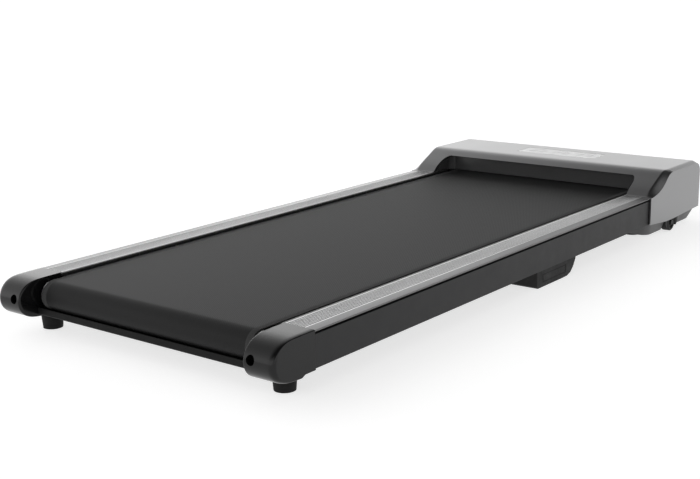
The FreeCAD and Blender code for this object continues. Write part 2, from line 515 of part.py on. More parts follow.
# throat panel: back wall and side cheeks behind the hood opening
po = stand(-THROAT_X - 2.4, THROAT_X + 2.4, 80.0, THROAT_Z + 2.4, 424, THROAT_Y + 2.4, THROAT_R + 2.4, only_top=True)
po = po.common(rbox(-THROAT_X - 2.4, THROAT_X + 2.4, 380, THROAT_Y + 2.4, 79, 121, 16.4))
pi_ = stand(-THROAT_X, THROAT_X, 79.0, THROAT_Z, 423, THROAT_Y, THROAT_R, only_top=True)
pi_ = pi_.common(rbox(-THROAT_X, THROAT_X, 380, THROAT_Y, 78, 120, 14))
panel = po.cut(pi_).common(prism_x([(y + 0.4, z - 0.4) for y, z in inn[1:12]] + [(508, 10), (418, 10)], -230, 230))
save("throat_panel", max(panel.Solids, key=lambda q: q.Volume))

save("display_window", rbox(-DISP_X, DISP_X, DISP_Y0, DISP_Y1, Z_TOP - 1.4, Z_TOP - 0.1, 3))
brd = rbox(-80, 80, DISP_Y0 + 6, DISP_Y1 - 6, 112.8, 114.4, 2)
seg = [box(x - 8, x + 8, 551, 570, 114.5, 118.8) for x in (-62, -40, -10, 12, 44, 66)]
save("display_board", brd, *seg)

# bottom pan
po = Part.makeLoft([rrect_wire(-256, 256, 426, 624, PAN_Z, 16), rrect_wire(-265, 265, 414, 634.5, 29, 12)], True, True)
pi_ = Part.makeLoft([rrect_wire(-253.4, 253.4, 428.8, 621.4, PAN_Z + 2.5, 14), rrect_wire(-262.6, 262.6, 416.4, 632.1, 29.6, 10)], True, True)
pan = po.cut(pi_)
for s in (-1, 1):
    pan = pan.fuse(cz(PAN_Z, 34, s * 230, 470, 5)).fuse(cz(PAN_Z, 31, s * 230, 592, 5))
    pan = pan.cut(cz(PAN_Z - 1, 35, s * 230, 470, 2.2)).cut(cz(PAN_Z - 1, PAN_Z + 2.6, s * 230, 470, 4.2))
    pan = pan.cut(cz(PAN_Z - 1, 35, s * 230, 592, 2.2)).cut(cz(PAN_Z - 1, PAN_Z + 2.6, s * 230, 592, 4.2))
    for y in (470, 598):
        pan = pan.fuse(box(min(s * 249, s * 263.0), max(s * 249, s * 263.0), y - 6, y + 6, 28, 33.7)).cut(cz(25, 35, s * 255, y, 2.2))
    pan = pan.cut(cz(PAN_Z - 1, PAN_Z + 4, s * 212, 455, 3.2))
    pan = pan.cut(box(min(s * 242.6, s * 270), max(s * 242.6, s * 270), WHEEL_Y - 29, WHEEL_Y + 29, 0, 35))
# cooling slots under the motor
for k in range(9):
    y = 545 + 8 * k
    pan = pan.cut(rbox(-170, -70, y - 1.6, y + 1.6, PAN_Z - 1, PAN_Z + 4, 1.5))
save("bottom_pan", pan.removeSplitter())

# ------------------------------------------------------ wheels, feet, bumpers
wb = box(243.2, 265, WHEEL_Y - 28.5, WHEEL_Y + 28.5, 8, 33.5)
wb = wb.cut(prism_x([(WHEEL_Y + 29, 7), (WHEEL_Y + 29, 18), (WHEEL_Y + 22, 7)], 242, 266))
wb = wb.cut(prism_x([(WHEEL_Y - 29, 7), (WHEEL_Y - 29, 18), (WHEEL_Y - 22, 7)], 242, 266))
wb = wb.cut(box(247.6, 266, WHEEL_Y - 18.5, WHEEL_Y + 18.5, 7, 35))
wb = wb.cut(cx(242, 266, WHEEL_Y, WHEEL_R, 3.0))
pair("wheel_bracket", wb)
tyre = revolve_x([(WHEEL_X0, 11), (WHEEL_X0, WHEEL_R - 1.6), (WHEEL_X0 + 1.6, WHEEL_R), (WHEEL_X1 - 1.6, WHEEL_R), (WHEEL_X1, WHEEL_R - 1.6),
                  (WHEEL_X1, 11), (WHEEL_X1 - 2, 10.4), (WHEEL_X1 - 2, 5.6), (WHEEL_X1, 5.2), (WHEEL_X1, 3.06), (WHEEL_X0, 3.06), (WHEEL_X0, 5.2),
                  (WHEEL_X0 + 2, 5.6), (WHEEL_X0 + 2, 10.4)], WHEEL_Y, WHEEL_R)
pair("transport_wheel", tyre)
pin = cx(243.4, 265.0, WHEEL_Y, WHEEL_R, 3.0).fuse(cx(264.9, 266.3, WHEEL_Y, WHEEL_R, 5.0)).removeSplitter()
save("wheel_pins", pin, mir(pin))

feet = []
for s in (-1, 1):
    f = Part.makeCone(14.6, 16.8, CAP_Z, V(s * FOOT_X, FOOT_Y, 0))
    f = f.fuse(cz(CAP_Z - 1, 42, s * FOOT_X, FOOT_Y, 2.9))
    feet.append(f.removeSplitter())
save("rear_feet", *feet)
ff = []
for s in (-1, 1):
    f = Part.makeCone(16.0, 18.0, PAN_Z, V(s * 212, 455, 0)).fuse(cz(6, 12, s * 212, 455, 3.0))
    ff.append(f.removeSplitter())
save("front_feet", *ff)

bump = prism_x([(8, 30.4), (8, 3), (11, 0), (98, 0), (110, 0.6), (121, 4.4), (130, 12.4), (137.5, 24), (139, 30.4)], 211, 259.5)
bump = bump.cut(prism_x([(14, -1), (14, 3.0), (60, 3.0), (60, -1)], 220, 250))
for y in (22, 88):
    bump = bump.cut(cz(-1, 31, 235, y, 2.2)).cut(cz(-1, 24, 235, y, 4.2))
bump = bump.cut(prism_x([(26, 8), (26, 22), (104, 22), (104, 8)], 258.9, 260))
bump = bump.fuse(prism_x([(28, 10), (28, 20), (102, 20), (102, 10)], 258.8, 259.4))
pair("mid_bumper", bump.removeSplitter())

# -------------------------------------------------------- small working parts
tb = []
for s in (-1, 1):
    b = cy(Y_REAR + 22, Y_RR + 16, s * TENS_X, Z_R, 4.0).fuse(cy(Y_REAR + 14, Y_REAR + 22, s * TENS_X, Z_R, 6.5)).removeSplitter()
    hexa = [(s * TENS_X + 3.46 * math.cos(math.radians(a)), Z_R + 3.46 * math.sin(math.radians(a))) for a in range(0, 360, 60)]
    tb.append(b.cut(prism_y(hexa, Y_REAR + 13, Y_REAR + 18.5)))
save("tension_bolts", *tb)


def screw(x, y, z, ln):
    """pan head machine screw pointing up, underside of the head at z"""
    b = cz(z, z + ln, x, y, 1.9).fuse(cz(z - 2.3, z, x, y, 3.7)).removeSplitter()
    return b.cut(box(x - 2.4, x + 2.4, y - 0.5, y + 0.5, z - 2.4, z - 1.2)).cut(box(x - 0.5, x + 0.5, y - 2.4, y + 2.4, z - 2.4, z - 1.2))


scr = []
for s in (-1, 1):
    scr += [screw(s * 230, 470, PAN_Z + 2.5, 31), screw(s * 230, 592, PAN_Z + 2.5, 26),
            screw(s * 255, 470, 28, 14), screw(s * 255, 598, 28, 14),
            screw(s * 238, -600, CAP_Z + 1.0, 13), screw(s * 232, -547, 30.5, 8), screw(s * 235, 22, 24, 14), screw(s * 235, 88, 24, 14)]
save("case_screws", *scr)

inlet = box(178, 206, 612, Y_FRONT - 3, 71.3, 90.3)
inlet = inlet.fuse(stand(172, 212, 67, 94.6, Y_FRONT - 3, Y_FRONT - 1.4, 3))
inlet = inlet.cut(prism_y([(180.4, 73.6), (203.6, 73.6), (203.6, 84.6), (199.8, 88.2), (184.2, 88.2), (180.4, 84.6)], Y_FRONT - 19, Y_FRONT))
for x, z in ((187, 79), (192, 83.4), (197, 79)):
    inlet = inlet.fuse(box(x - 1, x + 1, Y_FRONT - 20, Y_FRONT - 5, z - 2, z + 2))
save("power_inlet", inlet.removeSplitter())

bz = stand(118.5, 147.5, 65.8, 95.6, Y_FRONT - 3, Y_FRONT - 1.6, 2.5)
bz = bz.fuse(box(123, 143, 614, Y_FRONT - 2, 68.5, 93.5)).cut(box(125, 141, 616, Y_FRONT, 70.5, 91.5))
bz = bz.fuse(box(124.8, 126.6, 624, 632, 78.2, 83.8)).fuse(box(139.4, 141.2, 624, 632, 78.2, 83.8))
bz = bz.cut(cx(124, 142, 629.0, 81.0, 1.56))
save("switch_bezel", bz.removeSplitter())
# rocker: two faces meeting at a flat vee, resting with its lower half in (off)
rk = prism_x([(633.4, 71.3), (636.6, 81.0), (633.4, 90.7), (629, 90.7), (622, 85), (622, 77), (629, 71.3)], 126.9, 139.1)
rk = rk.fuse(cx(124.9, 141.1, 629.0, 81.0, 1.5)).removeSplitter()
rk.rotate(V(0, 629.0, 81.0), V(1, 0, 0), -6)
save("power_rocker", rk)
br = cy(606, 635, 98, 81, 6.9).fuse(cy(Y_FRONT - 3, Y_FRONT - 1.5, 98, 81, 9.5))
br = br.cut(cy(626, Y_FRONT, 98, 81, 4.5))
save("breaker_body", br.removeSplitter())
save("breaker_button", cy(629.5, Y_FRONT - 0.3, 98, 81, 4.2))

sen = box(-235, -224, 498, 514, RAIL_Z1, 75).fuse(box(-235, -232, 498, 514, 74, 99)).fuse(box(-235, -207, 498, 514, 93, 99)).removeSplitter()
save("speed_sensor", sen)

# ------------------------------------------------------------------- summary
bb = Part.makeCompound(list(BUILT.values())).BoundBox
print("nodes", len(BUILT), "box", [round(v, 2) for v in (bb.XMin, bb.XMax, bb.YMin, bb.YMax, bb.ZMin, bb.ZMax)])
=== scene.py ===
import bpy
import json
import math
from mathutils import Matrix, Vector

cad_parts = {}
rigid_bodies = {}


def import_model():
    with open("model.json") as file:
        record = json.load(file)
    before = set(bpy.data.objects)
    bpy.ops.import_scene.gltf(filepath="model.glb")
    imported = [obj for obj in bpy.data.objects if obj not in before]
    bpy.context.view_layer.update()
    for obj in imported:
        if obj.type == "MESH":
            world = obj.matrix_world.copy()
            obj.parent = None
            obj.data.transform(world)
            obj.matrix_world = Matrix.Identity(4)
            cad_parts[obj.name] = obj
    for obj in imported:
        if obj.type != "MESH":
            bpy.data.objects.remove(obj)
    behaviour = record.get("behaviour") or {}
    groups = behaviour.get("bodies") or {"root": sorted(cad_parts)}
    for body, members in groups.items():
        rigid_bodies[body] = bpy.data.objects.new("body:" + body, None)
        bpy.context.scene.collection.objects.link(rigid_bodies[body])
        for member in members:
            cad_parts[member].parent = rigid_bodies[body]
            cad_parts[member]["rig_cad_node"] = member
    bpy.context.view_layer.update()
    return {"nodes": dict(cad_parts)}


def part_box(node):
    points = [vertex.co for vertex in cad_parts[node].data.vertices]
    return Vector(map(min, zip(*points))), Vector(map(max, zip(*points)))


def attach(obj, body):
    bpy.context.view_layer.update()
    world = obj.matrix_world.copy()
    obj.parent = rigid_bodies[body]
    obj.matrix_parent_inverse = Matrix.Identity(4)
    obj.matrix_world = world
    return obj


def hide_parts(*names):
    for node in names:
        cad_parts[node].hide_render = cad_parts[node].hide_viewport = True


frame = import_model()
NODES = frame["nodes"]
SCENE = bpy.context.scene
MM = 0.001


# ------------------------------------------------------------------- camera
def make_camera():
    cam = bpy.data.objects.new("camera", bpy.data.cameras.new("camera"))
    SCENE.collection.objects.link(cam)
    cam.data.lens = 62.59
    cam.data.sensor_width = 36.0
    cam.data.sensor_fit = "HORIZONTAL"
    cam.data.clip_start, cam.data.clip_end = 0.05, 200.0
    yaw, pitch, roll = (math.radians(v) for v in (38.137, 13.494, -0.934))
    back = Vector((math.sin(yaw) * math.cos(pitch), -math.cos(yaw) * math.cos(pitch), math.sin(pitch)))
    right = (-back).cross(Vector((0, 0, 1))).normalized()
    up = right.cross(-back)
    r2 = right * math.cos(roll) + up * math.sin(roll)
    u2 = up * math.cos(roll) - right * math.sin(roll)
    m = Matrix((r2, u2, back)).transposed().to_4x4()
    m.translation = Vector((1.18715, -1.65841, 0.53971))
    cam.matrix_world = m
    SCENE.camera = cam


make_camera()
SCENE.view_settings.view_transform = "Standard"


# ---------------------------------------------------------------- materials
class Mat:
    """a Principled material with small procedural building blocks"""

    def __init__(self, name, color, rough, metal=0.0, spec=0.5, coat=0.0, coat_rough=0.1, coords="Object"):
        self.m = bpy.data.materials.new(name)
        self.m.use_nodes = True
        self.t = self.m.node_tree
        self.p = self.t.nodes["Principled BSDF"]
        self.color, self.rough = color, rough
        self.set("Base Color", (*color, 1.0))
        self.set("Roughness", rough)
        self.set("Metallic", metal)
        self.set("Specular IOR Level", spec)
        self.set("Coat Weight", coat)
        self.set("Coat Roughness", coat_rough)
        self.tc = self.new("ShaderNodeTexCoord")
        self.co = self.tc.outputs[coords]
        self.h = None

    def set(self, key, value):
        self.p.inputs[key].default_value = value

    def new(self, kind, **kw):
        n = self.t.nodes.new(kind)
        for k, v in kw.items():
            setattr(n, k, v)
        return n

    def link(self, a, b):
        self.t.links.new(a, b)

    def stretch(self, sx, sy, sz, rot=(0, 0, 0)):
        n = self.new("ShaderNodeMapping")
        n.inputs["Scale"].default_value = (sx, sy, sz)
        n.inputs["Rotation"].default_value = rot
        self.link(self.co, n.inputs["Vector"])
        return n.outputs["Vector"]

    def noise(self, scale, detail=3.0, rough=0.55, vec=None):
        n = self.new("ShaderNodeTexNoise")
        n.inputs["Scale"].default_value = scale
        n.inputs["Detail"].default_value = detail
        n.inputs["Roughness"].default_value = rough
        self.link(vec or self.co, n.inputs["Vector"])
        return n.outputs["Fac"]

    def voronoi(self, scale, vec=None, feature="F1"):
        n = self.new("ShaderNodeTexVoronoi", feature=feature)
        n.inputs["Scale"].default_value = scale
        self.link(vec or self.co, n.inputs["Vector"])
        return n.outputs["Distance"]

    def wave(self, scale, axis="X", rot=(0, 0, 0), vec=None, profile="SIN"):
        n = self.new("ShaderNodeTexWave", bands_direction=axis, wave_profile=profile)
        n.inputs["Scale"].default_value = scale
        self.link(vec or self.stretch(1, 1, 1, rot), n.inputs["Vector"])
        return n.outputs["Fac"]

    def math(self, op, a, b=None, c=None):
        n = self.new("ShaderNodeMath", operation=op)
        for i, v in enumerate((a, b, c)):
            if v is None:
                continue
            if isinstance(v, (int, float)):
                n.inputs[i].default_value = v
            else:
                self.link(v, n.inputs[i])
        return n.outputs[0]

    def remap(self, v, a, b, c, d):
        n = self.new("ShaderNodeMapRange", clamp=True)
        self.link(v, n.inputs["Value"])
        for i, x in zip(("From Min", "From Max", "To Min", "To Max"), (a, b, c, d)):
            n.inputs[i].default_value = x
        return n.outputs["Result"]

    def mix(self, fac, a, b):
        n = self.new("ShaderNodeMix", data_type="RGBA")
        for s, v in ((n.inputs["Factor"], fac), (n.inputs[6], a), (n.inputs[7], b)):
            if isinstance(v, (int, float)):
                s.default_value = v
            elif isinstance(v, tuple):
                s.default_value = (*v, 1.0) if len(v) == 3 else v
            else:
                self.link(v, s)
        return n.outputs[2]

    def tint(self, fac, lo, hi):
        """base colour runs between two brightness factors of the colour"""
        c = self.mix(fac, tuple(min(1, v * lo) for v in self.color), tuple(min(1, v * hi) for v in self.color))
        self.base(c)
        return c

    def base(self, c):
        self.link(c, self.p.inputs["Base Color"])

    def roughness(self, v):
        self.link(v, self.p.inputs["Roughness"])

    def bump(self, height, dist, strength=1.0):
        """height 0..1 over dist metres; calls add up"""
        n = self.new("ShaderNodeBump")
        n.inputs["Distance"].default_value = dist
        n.inputs["Strength"].default_value = strength
        self.link(height, n.inputs["Height"])
        if self.h is not None:
            self.link(self.h, n.inputs["Normal"])
        self.h = n.outputs["Normal"]
        self.link(self.h, self.p.inputs["Normal"])

    def edge(self, amount, bright=True):
        """pointiness mask, 1 on outer edges"""
        g = self.new("ShaderNodeNewGeometry")
        return self.remap(g.outputs["Pointiness"], 0.52, 0.60, 0.0, amount)


def plastic(name, color, rough, grain=900.0, depth=0.00004, var=0.10, spec=0.5, coat=0.0, coat_rough=0.1, dust=0.0):
    """moulded plastic: fine spark-eroded grain, slight mottling, handling marks"""
    m = Mat(name, color, rough, spec=spec, coat=coat, coat_rough=coat_rough)
    big = m.noise(9.0, 4.0)
    m.tint(m.remap(big, 0.3, 0.7, 0.0, 1.0), 1.0 - var, 1.0 + var)
    r = m.noise(38.0, 4.0, 0.6)
    m.roughness(m.remap(r, 0.3, 0.7, rough * 0.92, min(1, rough * 1.10)))
    m.bump(m.noise(grain, 2.0, 0.6), depth)
    if dust:
        f = m.remap(m.noise(260.0, 3.0, 0.7), 0.62, 0.8, 0.0, dust)
        c = m.mix(f, tuple(color), (0.35, 0.34, 0.33))
        m.base(c)
    return m.m


def painted(name, color, rough, metal, flake=2600.0, peel=0.00002, var=0.04, coat=0.35):
    """metallic lacquer: flake sparkle, slight orange peel"""
    m = Mat(name, color, rough, metal=metal, coat=coat, coat_rough=0.22)
    fl = m.voronoi(flake)
    soft = m.noise(5.0, 3.0)
    f = m.math("ADD", m.math("MULTIPLY", m.remap(fl, 0.0, 0.6, 0.0, 1.0), 0.80), m.math("MULTIPLY", m.remap(soft, 0.3, 0.7, 0.0, 1.0), 0.20))
    m.tint(f, 1.0 - var, 1.0 + var)
    m.roughness(m.remap(m.noise(11.0, 3.0), 0.3, 0.7, rough - 0.006, rough + 0.006))
    if peel:
        m.bump(m.noise(420.0, 1.0, 0.4), peel)
    return m.m


def metal(name, color, rough, brush=None, var=0.06, scratch=0.0, base_metal=1.0):
    """bare or plated metal, optionally drawn along one axis"""
    m = Mat(name, color, rough, metal=base_metal)
    if brush:
        v = m.stretch(*brush)
        n = m.noise(1.0, 5.0, 0.65, v)
        m.tint(m.remap(n, 0.3, 0.7, 0.0, 1.0), 1.0 - var, 1.0 + var)
        m.roughness(m.remap(n, 0.3, 0.7, rough - 0.06, rough + 0.08))
        m.bump(n, 0.00003)
    else:
        n = m.noise(120.0, 4.0, 0.6)
        m.tint(m.remap(n, 0.3, 0.7, 0.0, 1.0), 1.0 - var, 1.0 + var)
        m.roughness(m.remap(m.noise(46.0, 4.0), 0.3, 0.7, rough - 0.05, rough + 0.09))
        m.bump(m.noise(1500.0, 2.0), 0.00002)
    return m.m


def rubber(name, color, rough=0.72, grain=700.0, dust=0.12):
    m = Mat(name, color, rough, spec=0.22)
    f = m.remap(m.noise(150.0, 4.0, 0.7), 0.55, 0.8, 0.0, dust)
    c = m.mix(f, tuple(color), (0.16, 0.155, 0.15))
    m.base(c)
    m.roughness(m.remap(m.noise(60.0, 3.0), 0.3, 0.7, rough - 0.08, rough + 0.1))
    m.bump(m.noise(grain, 3.0, 0.6), 0.00008)
    return m.m


def cap_material():
    """deep black gloss moulding"""
    m = Mat("cap_gloss_black", (0.004, 0.004, 0.0042), 0.15, spec=0.28)
    m.base(m.mix(m.remap(m.noise(9.0, 4.0), 0.3, 0.7, 0.0, 1.0), (0.0036, 0.0036, 0.0038), (0.0045, 0.0045, 0.0047)))
    m.roughness(m.remap(m.noise(38.0, 4.0, 0.6), 0.3, 0.7, 0.135, 0.17))
    m.bump(m.noise(1500.0, 2.0, 0.6), 0.000004)
    return m.m


# running surface of the belt: small lozenges pressed into the PVC
def belt_top():
    m = Mat("belt_pvc", (0.0085, 0.0085, 0.0087), 0.52, spec=0.14, coords="UV")
    a = m.wave(1.0, "DIAGONAL", vec=m.stretch(210.0, 120.0, 1.0))
    b = m.wave(1.0, "DIAGONAL", vec=m.stretch(-210.0, 120.0, 1.0))
    loz = m.math("MULTIPLY", a, b)
    grit = m.noise(1700.0, 2.0, 0.7)
    streak = m.noise(1.0, 3.0, 0.6, m.stretch(640.0, 34.0, 1.0))
    h = m.math("ADD", m.math("MULTIPLY", loz, 0.75), m.math("MULTIPLY", grit, 0.25))
    big = m.noise(3.2, 3.0)
    f = m.math("ADD", m.math("MULTIPLY", m.remap(loz, 0.0, 0.7, 0.0, 1.0), 0.25),
               m.math("ADD", m.math("MULTIPLY", m.remap(streak, 0.32, 0.68, 0.0, 1.0), 0.55),
                      m.math("MULTIPLY", m.remap(big, 0.3, 0.7, 0.0, 1.0), 0.20)))
    m.tint(f, 0.80, 1.22)
    m.roughness(m.remap(h, 0.0, 1.0, 0.60, 0.44))
    m.bump(h, 0.00008, 0.8)
    return m.m


def belt_back():
    """woven polyester carrier on the inner side"""
    m = Mat("belt_fabric", (0.20, 0.195, 0.185), 0.9, spec=0.2, coords="UV")
    a = m.wave(330.0, "X")
    b = m.wave(330.0, "Y")
    w = m.math("MAXIMUM", a, b)
    m.tint(m.math("ADD", m.math("MULTIPLY", w, 0.7), m.math("MULTIPLY", m.noise(40.0), 0.3)), 0.65, 1.15)
    m.bump(w, 0.00025)
    m.set("Sheen Weight", 0.2)
    return m.m


def belt_edge():
    m = Mat("belt_cut_edge", (0.030, 0.030, 0.030), 0.8, spec=0.25, coords="UV")
    m.tint(m.noise(600.0, 2.0), 0.6, 1.5)
    m.bump(m.noise(900.0, 3.0), 0.0002)
    return m.m


def trim_material():
    """anodised aluminium, drawn along its length, fine knurl on the rib crests"""
    m = Mat("anodised_rail", (0.67, 0.67, 0.673), 0.34, metal=1.0)
    d = m.noise(1.0, 5.0, 0.65, m.stretch(2600.0, 9.0, 2600.0))
    soft = m.noise(4.0, 3.0)
    f = m.math("ADD", m.math("MULTIPLY", m.remap(d, 0.3, 0.7, 0.0, 1.0), 0.6), m.math("MULTIPLY", soft, 0.4))
    m.tint(f, 0.90, 1.10)
    m.roughness(m.remap(d, 0.3, 0.7, 0.30, 0.44))
    m.bump(d, 0.000025)
    # cross knurl only on the ribbed tread area
    sep = m.new("ShaderNodeSeparateXYZ")
    m.link(m.co, sep.inputs[0])
    ax = m.math("ABSOLUTE", sep.outputs["X"])
    inside = m.math("MULTIPLY", m.math("LESS_THAN", ax, 0.2500), m.math("GREATER_THAN", sep.outputs["Z"], 0.0815))
    k = m.wave(250.0, "Y", vec=m.stretch(1, 1, 1))
    m.bump(m.math("MULTIPLY", k, inside), 0.00010, 0.6)
    # painted shade: the smooth outer band, which faces outward, is coloured a shade darker than the ribs, and the
    # edges under it are coloured near black as painted shade
    outward_band_shade = m.math("GREATER_THAN", ax, 0.2510)
    src = m.p.inputs["Base Color"].links[0].from_socket
    # painted shade: the groove floors below the rib crests are coloured darker than the crests
    floor = m.math("MULTIPLY", m.math("LESS_THAN", ax, 0.2503), m.remap(sep.outputs["Z"], 0.0812, 0.0818, 1.0, 0.0))
    src = m.mix(floor, src, (0.19, 0.19, 0.192))
    m.link(m.mix(outward_band_shade, src, (0.245, 0.245, 0.247)), m.p.inputs["Base Color"])
    # painted shade: everything on the rail below the band is coloured near black, standing for the shade in the gap
    # over the skirt
    below_band_shade = m.math("LESS_THAN", sep.outputs["Z"], 0.0795)
    m.link(m.mix(below_band_shade, m.p.inputs["Base Color"].links[0].from_socket, (0.05, 0.05, 0.05)), m.p.inputs["Base Color"])
    m.set("Anisotropic", 0.35)
    return m.m


def deck_material():
    """pressed fibre board, edges sealed with dark wax, black laminate on its top face"""
    m = Mat("deck_board_fibre", (0.30, 0.20, 0.12), 0.75)
    n = m.noise(1.0, 6.0, 0.7, m.stretch(60.0, 60.0, 900.0))
    wood = m.mix(n, (0.030, 0.024, 0.019), (0.060, 0.048, 0.038))
    sep = m.new("ShaderNodeSeparateXYZ")
    m.link(m.co, sep.inputs[0])
    top = m.math("GREATER_THAN", sep.outputs["Z"], 0.0764)
    lam = m.mix(m.noise(500.0), (0.010, 0.010, 0.010), (0.03, 0.03, 0.03))
    m.base(m.mix(top, wood, lam))
    m.roughness(m.math("SUBTRACT", 0.78, m.math("MULTIPLY", top, 0.38)))
    m.bump(n, 0.0002)
    return m.m


def board_material():
    """green circuit board; what stands on it is dark or copper"""
    m = Mat("circuit_board", (0.03, 0.16, 0.07), 0.4, coat=0.3)
    sep = m.new("ShaderNodeSeparateXYZ")
    m.link(m.co, sep.inputs[0])
    tr = m.math("GREATER_THAN", m.wave(180.0, "X"), 0.86)
    pcb = m.mix(tr, (0.02, 0.12, 0.05), (0.05, 0.24, 0.11))
    part = m.math("GREATER_THAN", sep.outputs["Z"], 0.04366)
    wound = m.math("LESS_THAN", sep.outputs["X"], 0.068)
    sleeve = m.math("MULTIPLY", m.math("GREATER_THAN", sep.outputs["Y"], 0.577), m.math("GREATER_THAN", sep.outputs["X"], 0.125))
    comp = m.mix(wound, m.mix(sleeve, (0.04, 0.04, 0.045), (0.02, 0.025, 0.09)), (0.42, 0.17, 0.06))
    m.base(m.mix(part, pcb, comp))
    m.bump(m.wave(700.0, "X"), 0.0001, 0.4)
    return m.m


def window_material():
    m = Mat("display_lens", (0.70, 0.705, 0.71), 0.13, spec=0.34)
    m.set("Transmission Weight", 0.62)
    m.set("IOR", 1.49)
    # printed border along the rim of the lens
    sep = m.new("ShaderNodeSeparateXYZ")
    m.link(m.co, sep.inputs[0])
    rx = m.math("GREATER_THAN", m.math("ABSOLUTE", sep.outputs["X"]), 0.0857)
    ry = m.math("GREATER_THAN", m.math("ABSOLUTE", m.math("SUBTRACT", sep.outputs["Y"], 0.560)), 0.0264)
    c = m.tint(m.noise(22.0, 3.0), 0.97, 1.03)
    m.base(m.mix(m.math("MAXIMUM", rx, ry), c, (0.06, 0.06, 0.061)))
    m.roughness(m.remap(m.noise(500.0, 3.0), 0.3, 0.7, 0.11, 0.15))
    m.bump(m.noise(1600.0), 0.000002)
    return m.m


def armature_material():
    m = Mat("armature", (0.30, 0.30, 0.31), 0.4, metal=0.9)
    sep = m.new("ShaderNodeSeparateXYZ")
    m.link(m.co, sep.inputs[0])
    com = m.math("GREATER_THAN", sep.outputs["X"], -0.0835)
    lam = m.mix(m.math("GREATER_THAN", m.wave(260.0, "X"), 0.6), (0.16, 0.16, 0.17), (0.34, 0.34, 0.35))
    m.base(m.mix(com, lam, (0.55, 0.24, 0.10)))
    m.bump(m.wave(260.0, "X"), 0.0003)
    return m.m


MATS = {
    "frame": painted("powder_coat_black", (0.022, 0.022, 0.023), 0.5, 0.0, flake=1500.0, peel=0.00010, var=0.18, coat=0.1),
    "trim": trim_material(),
    "skirt": plastic("skirt_satin_black", (0.017, 0.017, 0.0175), 0.42, grain=1300.0, depth=0.00002, var=0.06, spec=0.20),
    # painted shade: the rear guard, which sits under the rear roller, takes a darker copy of the black plastic than
    # the skirt
    "guard": plastic("guard_shade_darkened_black", (0.006, 0.006, 0.006), 0.6, grain=1100.0, var=0.1, spec=0.12),
    "guide": plastic("guide_black", (0.012, 0.012, 0.012), 0.26, grain=1200.0, depth=0.00001, var=0.1, spec=0.42),
    "cap": cap_material(),
    "hood": painted("hood_silver", (0.248, 0.248, 0.251), 0.28, 1.0, flake=3400.0, peel=0.0, var=0.03, coat=0.0),
    "throat": plastic("throat_black", (0.032, 0.032, 0.0325), 0.24, grain=1100.0, depth=0.000006, var=0.06, spec=0.5),
    "pan": plastic("pan_black", (0.058, 0.058, 0.059), 0.5, grain=800.0, depth=0.00004, var=0.08),
    "bracket": plastic("bracket_black", (0.012, 0.012, 0.012), 0.55, grain=800.0, depth=0.00004, var=0.10, spec=0.2),
    "window": window_material(),
    "board": board_material(),
    "belt": belt_top(),
    "deck": deck_material(),
    "rubber": rubber("foot_rubber", (0.003, 0.003, 0.003), dust=0.02),
    "bumper": rubber("bumper_rubber", (0.014, 0.014, 0.014), 0.62, 900.0, 0.08),
    "tyre": rubber("tyre_rubber", (0.010, 0.010, 0.010), 0.6, 600.0, 0.05),
    "zinc": metal("zinc_plated", (0.62, 0.61, 0.56), 0.32),
    "roller": metal("roller_steel", (0.50, 0.50, 0.50), 0.30, brush=(2.0, 900.0, 900.0)),
    "bearing": metal("bearing_steel", (0.60, 0.60, 0.61), 0.22, brush=(2600.0, 30.0, 30.0)),
    "axle": metal("axle_steel", (0.48, 0.48, 0.48), 0.28, brush=(9.0, 900.0, 900.0)),
    "cast": metal("cast_aluminium", (0.55, 0.55, 0.56), 0.48),
    "pulley": plastic("pulley_nylon", (0.03, 0.03, 0.03), 0.45, grain=700.0),
    "motor": painted("motor_enamel", (0.035, 0.035, 0.038), 0.36, 0.1, flake=900.0, peel=0.00004, var=0.1),
    "armature": armature_material(),
    "drive": rubber("drive_belt_rubber", (0.02, 0.02, 0.02), 0.6, 1100.0),
    "inlet": plastic("inlet_black", (0.015, 0.015, 0.015), 0.38, grain=1100.0),
    "red": plastic("rocker_red", (0.42, 0.012, 0.012), 0.28, grain=1200.0, depth=0.00001, var=0.05, coat=0.4),
    "white": plastic("button_white", (0.62, 0.62, 0.60), 0.4, grain=1200.0, var=0.04),
    "blackscrew": metal("blackened_steel", (0.022, 0.022, 0.0225), 0.42, base_metal=0.85),
}

LOOK = {
    "frame_rail": "frame", "cross_member": "frame", "rear_guard": "guard", "motor_plate": "frame",
    "side_trim": "trim", "side_skirt": "skirt", "belt_guide": "guide", "end_cap": "cap",
    "motor_hood": "hood", "service_panel": "inlet", "throat_panel": "throat", "bottom_pan": "pan", "display_window": "window",
    "display_board": "board", "running_belt": "belt", "deck_board": "deck", "deck_cushions": "rubber",
    "deck_bolts": "zinc", "front_roller": "roller", "front_bearings": "bearing", "front_axle": "axle",
    "drive_pulley": "pulley", "rear_roller": "roller", "rear_bearings": "bearing", "rear_axle": "axle",
    "motor_housing": "motor", "motor_end_caps": "cast", "motor_shaft": "axle", "motor_armature": "armature",
    "motor_pulley": "cast", "motor_clamps": "cast", "drive_belt": "drive", "controller_tray": "pan",
    "controller_board": "board", "controller_heatsink": "cast",
    "power_inlet": "inlet", "switch_bezel": "inlet", "power_rocker": "red", "breaker_body": "inlet",
    "breaker_button": "white", "speed_sensor": "inlet", "transport_wheel": "tyre", "wheel_bracket": "bracket",
    "wheel_pins": "blackscrew", "rear_feet": "rubber", "front_feet": "rubber", "mid_bumper": "bumper",
    "tension_bolts": "blackscrew", "case_screws": "blackscrew",
}


def look_of(name):
    best = max((k for k in LOOK if name.startswith(k)), key=len, default="bottom_pan")
    return MATS[LOOK[best]]


